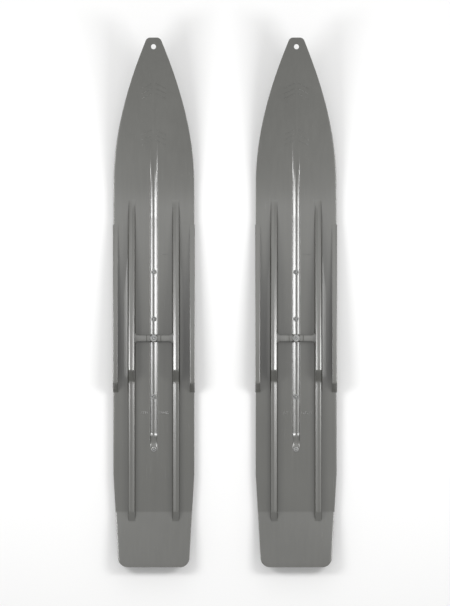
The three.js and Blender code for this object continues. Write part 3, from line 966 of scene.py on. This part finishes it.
def marks_mesh():
    bars = []
    for tip in CHEVRON_TIPS:
        for side in (-1, 1):
            inner = (side * CHEVRON_INNER, tip)
            outer = (side * CHEVRON_HALF, tip - CHEVRON_DROP)
            bars.append(mark_bar(inner, outer, CHEVRON_WIDTH))
    for first, count in TICK_ROWS:
        for k in range(count):
            x = first + k * TICK_PITCH
            ends = ((x, TICK_Y - TICK_HALF), (x + TICK_LEAN, TICK_Y + TICK_HALF))
            bars.append(mark_bar(*ends, TICK_WIDTH))
    bars.append(mark_bar(*SHORT_LINE, SHORT_LINE_WIDTH))
    return merged(bars)


# %% [markdown]
# A material is a graph of nodes. Long graphs are easier to read as sums, so `Wire` wraps one output
# of a node and lets Python's own operators add the Math nodes. Every other node comes from
# `Finish.node`.

# %% Wrap sockets so that they can be added and multiplied
class Wire:
    """One output of a node that arithmetic can be done on."""

    def __init__(self, finish, socket):
        self.finish = finish
        self.socket = socket

    def math(self, operation, first, second):
        return self.finish.node("ShaderNodeMath", {"operation": operation}, {0: first, 1: second})

    def __add__(self, other):
        return self.math("ADD", self, other)

    def __sub__(self, other):
        return self.math("SUBTRACT", self, other)

    def __rsub__(self, other):
        return self.math("SUBTRACT", other, self)

    def __mul__(self, other):
        return self.math("MULTIPLY", self, other)

    __radd__ = __add__
    __rmul__ = __mul__


class Finish:
    """A material with one Principled shader, built up node by node."""

    def __init__(self, name, **constants):
        self.material = bpy.data.materials.new(name)
        self.material.use_nodes = True
        self.tree = self.material.node_tree
        self.shader = self.tree.nodes["Principled BSDF"]
        for socket, value in constants.items():
            self.shader.inputs[socket.replace("_", " ")].default_value = value
        self.place = self.node("ShaderNodeTexCoord", output="Object")

    def node(self, kind, settings=None, inputs=None, output=0):
        made = self.tree.nodes.new(kind)
        for key, value in (settings or {}).items():
            if key == "stops":
                elements = made.color_ramp.elements
                for stop, (position, colour) in zip((elements[0], elements[-1]), value):
                    stop.position = position
                    stop.color = colour
            else:
                setattr(made, key, value)
        for key, value in (inputs or {}).items():
            self.feed(made.inputs[key], value)
        return Wire(self, made.outputs[output])

    def feed(self, socket, value):
        if isinstance(value, Wire):
            self.tree.links.new(value.socket, socket)
        else:
            socket.default_value = value

    def noise(self, scale, stretch=(1, 1, 1), turn=0.0, detail=3.0):
        """Noise with that many waves to the metre, stretched or turned about Z by a Mapping node."""
        placed = self.node(
            "ShaderNodeMapping", None, {"Vector": self.place, "Rotation": (0, 0, turn), "Scale": stretch}
        )
        return self.node("ShaderNodeTexNoise", None, {"Vector": placed, "Scale": scale, "Detail": detail})

    def ramp(self, value, low, high):
        """Black up to low, white from high, and smooth in between."""
        stops = [(low, (0, 0, 0, 1)), (high, (1, 1, 1, 1))]
        return self.node("ShaderNodeValToRGB", {"stops": stops}, {"Fac": value})

    def blend(self, factor, first, second):
        return self.node("ShaderNodeMix", {"data_type": "RGBA"}, {0: factor, 6: first, 7: second}, output=2)

    def bump(self, height, strength, distance):
        inputs = {"Height": height, "Strength": strength, "Distance": distance}
        return self.node("ShaderNodeBump", None, inputs)

    def paint(self, **wires):
        for socket, wire in wires.items():
            self.feed(self.shader.inputs[socket.replace("_", " ")], wire)
        return self.material


# %% [markdown]
# The skis are injection moulded in a mid grey plastic with a half gloss. Flow from the gate leaves
# faint streaks along the blade, snow and handling leave fine scuffs, and the mould's own grain
# breaks up every highlight. The streaks and scuffs are noise that is stretched along one direction,
# so they need no picture.

# %% Mix the moulded plastic
GREY = (0.068, 0.068, 0.060, 1)
GREY_DEEP = (0.056, 0.056, 0.049, 1)
GREY_WORN = (0.15, 0.15, 0.142, 1)


def moulded_plastic():
    finish = Finish("moulded_plastic", IOR=1.5, Coat_Weight=1.0, Coat_Roughness=0.22, Coat_IOR=1.8)
    cloud = finish.ramp(finish.noise(7, detail=4), 0.32, 0.68)
    streak = finish.ramp(finish.noise(1, stretch=(140, 4, 140), detail=5), 0.35, 0.75)
    scuffs = []
    for turn in (0.18, -0.31, 1.2):
        line = finish.noise(1, stretch=(900, 16, 300), turn=turn, detail=2)
        where = finish.ramp(finish.noise(24, detail=2), 0.52, 0.66)
        scuffs.append(finish.ramp(line, 0.69, 0.74) * where)
    scuff = scuffs[0] + scuffs[1] + scuffs[2]
    grain = finish.noise(1400, detail=2)
    flow = finish.blend(cloud * 0.55 + streak * 0.45, GREY_DEEP, GREY)
    colour = finish.blend(scuff * 0.35, flow, GREY_WORN)
    roughness = 0.3 + 0.06 * cloud + 0.05 * streak + 0.16 * scuff
    return finish.paint(
        Base_Color=colour,
        Roughness=roughness,
        Normal=finish.bump(grain + 2.0 * streak + -1.0 * scuff, 0.22, 0.00006),
    )


# %% [markdown]
# The runner is bare drawn steel, polished by travel. Its marks all run along the ski. Small parts
# are zinc plated, which gives a paler, slightly uneven grey with soft grains.

# %% Mix the steels
STEEL_DULL = (0.40, 0.40, 0.41, 1)
STEEL_BRIGHT = (0.56, 0.56, 0.565, 1)
ZINC_GREY = (0.27, 0.275, 0.28, 1)
ZINC_PALE = (0.38, 0.38, 0.365, 1)


def runner_steel():
    finish = Finish("runner_steel", Metallic=1.0)
    drawn = finish.noise(1, stretch=(900, 7, 900), detail=6)
    patch = finish.ramp(finish.noise(18, detail=5), 0.35, 0.7)
    line = finish.noise(1, stretch=(1600, 20, 900), turn=0.04, detail=3)
    scratch = finish.ramp(line, 0.66, 0.72)
    colour = finish.blend(patch * 0.6 + scratch * 0.4, STEEL_DULL, STEEL_BRIGHT)
    roughness = 0.24 + 0.14 * drawn + 0.1 * patch
    normal = finish.bump(drawn - scratch, 0.3, 0.00005)
    return finish.paint(Base_Color=colour, Roughness=roughness, Normal=normal)


def zinced_steel():
    finish = Finish("zinced_steel", Metallic=1.0)
    inputs = {"Vector": finish.place, "Scale": 900.0, "Smoothness": 0.6}
    cells = finish.node("ShaderNodeTexVoronoi", {"feature": "SMOOTH_F1"}, inputs)
    cloud = finish.ramp(finish.noise(260, detail=4), 0.35, 0.7)
    colour = finish.blend(cloud, ZINC_GREY, ZINC_PALE)
    roughness = 0.36 + 0.12 * cloud + 0.1 * cells
    return finish.paint(Base_Color=colour, Roughness=roughness, Normal=finish.bump(cells, 0.25, 0.00005))


PLASTIC = moulded_plastic()
RUNNER_STEEL = runner_steel()
ZINC = zinced_steel()
print("finishes:", ", ".join(m.name for m in (PLASTIC, RUNNER_STEEL, ZINC)))

# %% [markdown]
# Every piece is finished in the same way. Its mesh is turned to metres and moved to its ski, its
# faces are smoothed except across sharp edges, it gets its finish, it is hung on its ski's body,
# and the imported node that it stands for is hidden.

# %% Put the pieces on both skis
SHARP_ANGLE = math.radians(32)


def add_piece(bm, ski, part, material):
    """Adds one ski's copy of a finished mesh, and leaves the mesh itself as it was."""
    copy = bm.copy()
    bmesh.ops.recalc_face_normals(copy, faces=copy.faces)
    bmesh.ops.translate(copy, verts=copy.verts, vec=(axis_of(ski), 0, 0))
    bmesh.ops.scale(copy, verts=copy.verts, vec=(MM, MM, MM))
    piece = object_from(copy, f"{ski}_{part}_finished")
    piece.data.shade_smooth()
    piece.data.set_sharp_from_angle(angle=SHARP_ANGLE)
    piece.data.materials.append(material)
    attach(piece, ski)
    if f"{ski}_{part}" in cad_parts:
        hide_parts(f"{ski}_{part}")
    return piece


def add_to_both(part, bm, material):
    faces = len(bm.faces)
    for ski in SKIS:
        add_piece(bm, ski, part, material)
    bm.free()
    print(f"{part}: {faces} faces")


add_to_both("blade", blade_master, PLASTIC)
add_to_both("deck_marks", marks_mesh(), PLASTIC)
add_to_both("brace", brace_mesh(), PLASTIC)
add_to_both("runner", runner_mesh(), RUNNER_STEEL)
add_to_both("brace_washer", washer_mesh(), ZINC)
add_to_both("brace_nut", nut_mesh(), ZINC)
add_to_both("brace_screw", screw_mesh("brace_screw", 2.5, 0.8, "hex"), ZINC)
for hand, side in HANDS:
    add_to_both(f"{hand}_stringer", stringer_mesh(side), PLASTIC)
    add_to_both(f"{hand}_rail", rail_mesh(side), PLASTIC)
    for part in numbered(f"{hand}_stringer_screw") + numbered(f"{hand}_rail_screw"):
        add_to_both(part, screw_mesh(part, 2.0, 1.2, "cross"), ZINC)
for part in numbered("runner_screw"):
    add_to_both(part, screw_mesh(part, 2.5, 0.8, "hex"), ZINC)
for part in numbered("tee_nut"):
    add_to_both(part, tee_nut_mesh(part), ZINC)

# %% [markdown]
# The skis lie on a plain white studio floor. The floor is seen only from its upper side, so that
# the running face can be looked at from below as well.

# %% Lay the floor
PAPER = (0.76, 0.76, 0.758, 1)
PAPER_PALE = (0.78, 0.78, 0.778, 1)
FLOOR_SIZE = 14


def floor_paper():
    finish = Finish("floor_paper", Roughness=0.9)
    tooth = finish.noise(300, detail=3)
    colour = finish.blend(tooth, PAPER, PAPER_PALE)
    finish.paint(Base_Color=colour)
    clear = finish.node("ShaderNodeBsdfTransparent")
    under = finish.node("ShaderNodeNewGeometry", output="Backfacing")
    lit = Wire(finish, finish.shader.outputs[0])
    seen = finish.node("ShaderNodeMixShader", None, {0: under, 1: lit, 2: clear})
    finish.tree.links.new(seen.socket, finish.tree.nodes["Material Output"].inputs["Surface"])
    return finish.material


paper = bmesh.new()
bmesh.ops.create_grid(paper, x_segments=1, y_segments=1, size=FLOOR_SIZE)
floor = object_from(paper, "studio_floor")
floor.data.materials.append(floor_paper())

# %% [markdown]
# A soft strip hangs high on each side of the skis. The two draw the bright lines in the groove and
# along the edges of the stringers. A soft box above the front half gives the deck its sheen, and a
# light beyond the tips leaves the faces that look towards the tails darker. A pale world fills the
# shadows.

# %% Light the skis
def soft_light(name, place, size, power, target=(0, 0, 0)):
    """A soft box that faces a point and can't be seen itself."""
    data = bpy.data.lights.new(name, "AREA")
    data.shape = "RECTANGLE"
    data.size, data.size_y = size
    data.energy = power
    light = bpy.data.objects.new(name, data)
    bpy.context.scene.collection.objects.link(light)
    light.location = place
    light.rotation_euler = (Vector(place) - Vector(target)).to_track_quat("Z", "Y").to_euler()
    light.visible_camera = False
    return light


STRIP_REACH = 0.85
STRIP_Y = 0.03
STRIP_HEIGHT = 1.25
STRIP_SIZE = (0.34, 0.62)
STRIP_POWER = 8.8
OVERHEAD_Y = 0.46
OVERHEAD_HEIGHT = 1.7
OVERHEAD_SIZE = (0.8, 0.7)
OVERHEAD_POWER = 1.35
KEY_PLACE = (0, 1.7, 1.3)
KEY_SIZE = (1.4, 0.8)
KEY_POWER = 3.5
WORLD_STRENGTH = 0.72

for strip_side in (-1, 1):
    strip_place = (strip_side * STRIP_REACH, STRIP_Y, STRIP_HEIGHT)
    soft_light("side_strip", strip_place, STRIP_SIZE, STRIP_POWER, (0, STRIP_Y, 0))
overhead_place = (0, OVERHEAD_Y, OVERHEAD_HEIGHT)
soft_light("overhead_box", overhead_place, OVERHEAD_SIZE, OVERHEAD_POWER, (0, OVERHEAD_Y, 0))
soft_light("key_box", KEY_PLACE, KEY_SIZE, KEY_POWER)

world = bpy.data.worlds.new("pale_world")
bpy.context.scene.world = world
world.use_nodes = True
world.node_tree.nodes["Background"].inputs["Color"].default_value = (1, 1, 1, 1)
world.node_tree.nodes["Background"].inputs["Strength"].default_value = WORLD_STRENGTH

# %% [markdown]
# The skis are seen from straight above through a long lens far away, so that they show hardly any
# perspective. The picture is upright, so the sensor's width spans its height.

# %% Set up the camera
CAMERA_HEIGHT = 20.0
FRAME_HEIGHT = 1.215
camera_data = bpy.data.cameras.new("camera")
camera_data.lens = camera_data.sensor_width * CAMERA_HEIGHT / FRAME_HEIGHT
camera_data.clip_end = 2 * CAMERA_HEIGHT
camera = bpy.data.objects.new("camera", camera_data)
camera.location = (0, 0, CAMERA_HEIGHT)
bpy.context.scene.collection.objects.link(camera)
bpy.context.scene.camera = camera
bpy.context.scene.view_settings.view_transform = "Standard"
